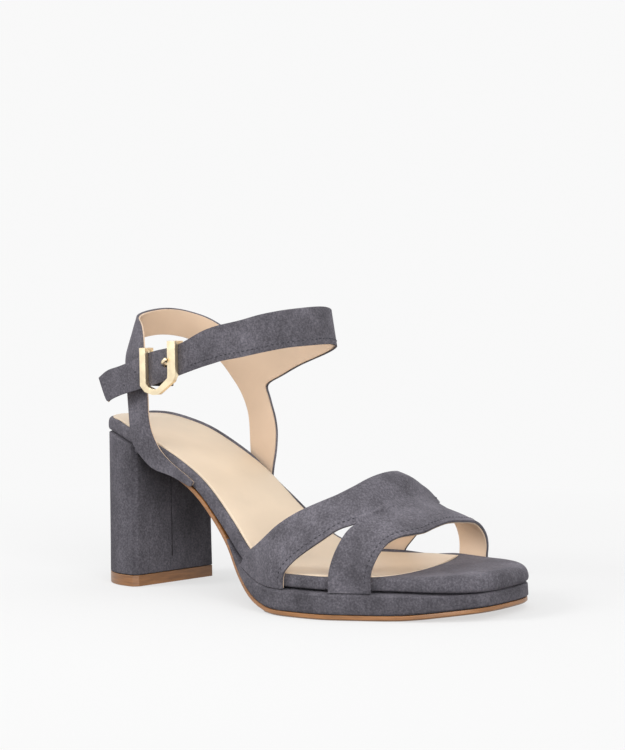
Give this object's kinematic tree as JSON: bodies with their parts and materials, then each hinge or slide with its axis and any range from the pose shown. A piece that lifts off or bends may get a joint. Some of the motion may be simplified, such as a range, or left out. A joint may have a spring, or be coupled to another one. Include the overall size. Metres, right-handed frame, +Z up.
{
  "type": "block heel platform sandal",
  "caption": "Open-toe platform sandal on a block heel, with crossed vamp straps and a buckled ankle strap joined to a sling.",
  "frame": {"origin": "middle of the heel's contact face on the floor", "axes": "+X from the heel to the toe, +Y to the inner (medial) side of the foot, +Z up"},
  "size_m": [0.2176, 0.093, 0.1273],
  "materials": {
    "sole_suede": "matte suede cover",
    "strap_suede": "matte suede, tan lining inside",
    "sock_leather": "smooth tan leather",
    "outsole_caramel": "satin, caramel",
    "top_lift_rubber": "satin, caramel",
    "buckle_gold": "polished pale gold plate",
    "elastic_black": "woven elastic"
  },
  "bodies": {
    "root": {"outsole": "outsole_caramel", "platform": "sole_suede", "footbed": "sole_suede", "sock": "sock_leather", "heel_block": "sole_suede", "heel_top_lift": "top_lift_rubber", "vamp_straps": "strap_suede", "ankle_strap": "strap_suede", "buckle_frame": "buckle_gold", "buckle_prong": "buckle_gold", "buckle_elastic": "elastic_black"}
  },
  "joints": []
}
